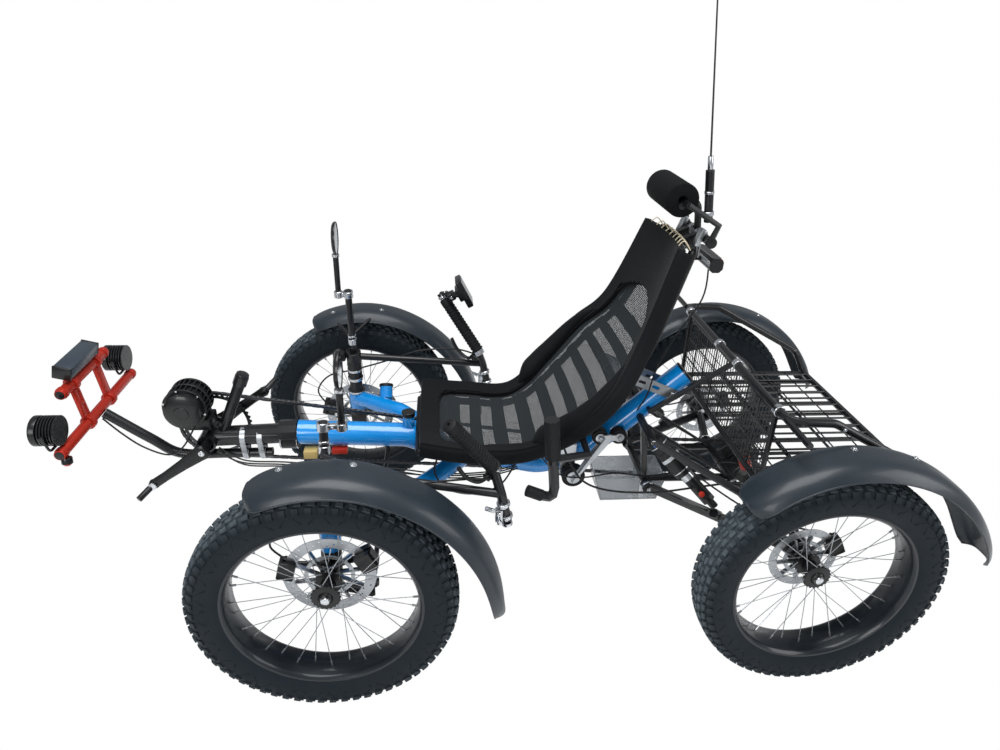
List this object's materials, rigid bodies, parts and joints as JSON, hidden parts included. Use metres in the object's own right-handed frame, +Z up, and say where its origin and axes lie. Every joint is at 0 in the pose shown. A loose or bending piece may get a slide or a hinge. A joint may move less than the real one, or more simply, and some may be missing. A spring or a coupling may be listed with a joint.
{
  "type": "electric recumbent quadricycle",
  "caption": "Four-wheeled recumbent pedal cycle with fat lugged tyres, direct steering, electric mid motor, reclined seat and a rear cargo basket.",
  "frame": {"origin": "on the ground under the middle of the overall box", "axes": "+X forward, +Y to the rider's left, +Z up"},
  "size_m": [2.1142, 0.9814, 1.7502],
  "materials": {
    "blue_paint": "gloss metallic blue",
    "black_coat": "satin black powder coat",
    "black_alloy": "black anodised",
    "red_anodised": "red anodised",
    "bare_alloy": "brushed",
    "bright_steel": "bright",
    "tyre_rubber": "matt",
    "guard_plastic": "fine grain",
    "foam": "closed cell foam",
    "seat_fabric": "woven mesh",
    "clear_grey": "translucent grey",
    "lamp_black": "satin"
  },
  "bodies": {
    "frame": {"main_frame": "blue_paint", "boom": "black_coat", "accessory_tube": "black_coat", "band_front": "bare_alloy", "band_rear": "bare_alloy", "motor": "lamp_black", "chain": "bright_steel", "light_frame": "red_anodised", "pod_lamp_left": "lamp_black", "pod_lamp_right": "lamp_black", "light_bar": "lamp_black", "seat_cover": "seat_fabric", "seat_frame": "black_alloy", "seat_channel": "bare_alloy", "headrest_roll": "foam", "headrest_mount": "black_coat", "aerial": "black_coat", "rear_lamp": "lamp_black", "side_lever": "black_coat", "rear_subframe": "black_coat", "rear_arm_left": "black_coat", "rear_arm_right": "black_coat", "shock_left": "black_alloy", "shock_right": "black_alloy", "differential": "black_alloy", "chain_idlers": "black_alloy", "tray": "clear_grey", "cargo_rack": "black_coat", "rack_wall": "black_coat", "mudguard_rear_left": "guard_plastic", "mudguard_rear_right": "guard_plastic"},
    "knuckle_left": {"knuckle_left": "black_coat", "handlebar_left": "black_coat", "mudguard_front_left": "guard_plastic", "mirror_post_left": "black_coat"},
    "knuckle_right": {"knuckle_right": "black_coat", "handlebar_right": "black_coat", "mudguard_front_right": "guard_plastic", "mirror_post_right": "black_coat", "display": "lamp_black", "side_lamp": "lamp_black"},
    "tie_rod": {"tie_rod": "black_coat"},
    "wheel_front_left": {"wheel_front_left": "black_alloy", "tyre_front_left": "tyre_rubber"},
    "wheel_front_right": {"wheel_front_right": "black_alloy", "tyre_front_right": "tyre_rubber"},
    "wheel_rear_left": {"wheel_rear_left": "black_alloy", "tyre_rear_left": "tyre_rubber"},
    "wheel_rear_right": {"wheel_rear_right": "black_alloy", "tyre_rear_right": "tyre_rubber"},
    "crankset": {"crankset": "black_alloy"}
  },
  "joints": [
    {"name": "steer_left", "type": "hinge", "parent": "frame", "child": "knuckle_left", "pos_m": [0.4251, 0.32116, 0.285], "axis": [0, -0.1392, 0.9903], "range_deg": [-18, 18]},
    {"name": "steer_right", "type": "hinge", "parent": "frame", "child": "knuckle_right", "pos_m": [0.4251, -0.32116, 0.285], "axis": [0, 0.1392, 0.9903], "range_deg": [-18, 18]},
    {"name": "tie_rod_turn", "type": "hinge", "parent": "knuckle_left", "child": "tie_rod", "pos_m": [0.3351, 0.32861, 0.232], "axis": [0, -0.1392, 0.9903], "range_deg": [-18, 18]},
    {"name": "spin_front_left", "type": "hinge", "parent": "knuckle_left", "child": "wheel_front_left", "pos_m": [0.4251, 0.4275, 0.285], "axis": [0, 1, 0], "continuous": true},
    {"name": "spin_front_right", "type": "hinge", "parent": "knuckle_right", "child": "wheel_front_right", "pos_m": [0.4251, -0.4275, 0.285], "axis": [0, 1, 0], "continuous": true},
    {"name": "spin_rear_left", "type": "hinge", "parent": "frame", "child": "wheel_rear_left", "pos_m": [-0.6749, 0.4205, 0.285], "axis": [0, 1, 0], "continuous": true},
    {"name": "spin_rear_right", "type": "hinge", "parent": "frame", "child": "wheel_rear_right", "pos_m": [-0.6749, -0.4205, 0.285], "axis": [0, 1, 0], "continuous": true},
    {"name": "crank_spin", "type": "hinge", "parent": "frame", "child": "crankset", "pos_m": [0.7591, 0, 0.428], "axis": [0, 1, 0], "continuous": true}
  ],
  "couplings": [
    {"joint": "steer_right", "follows": "steer_left", "ratio": 1},
    {"joint": "tie_rod_turn", "follows": "steer_left", "ratio": -1}
  ]
}
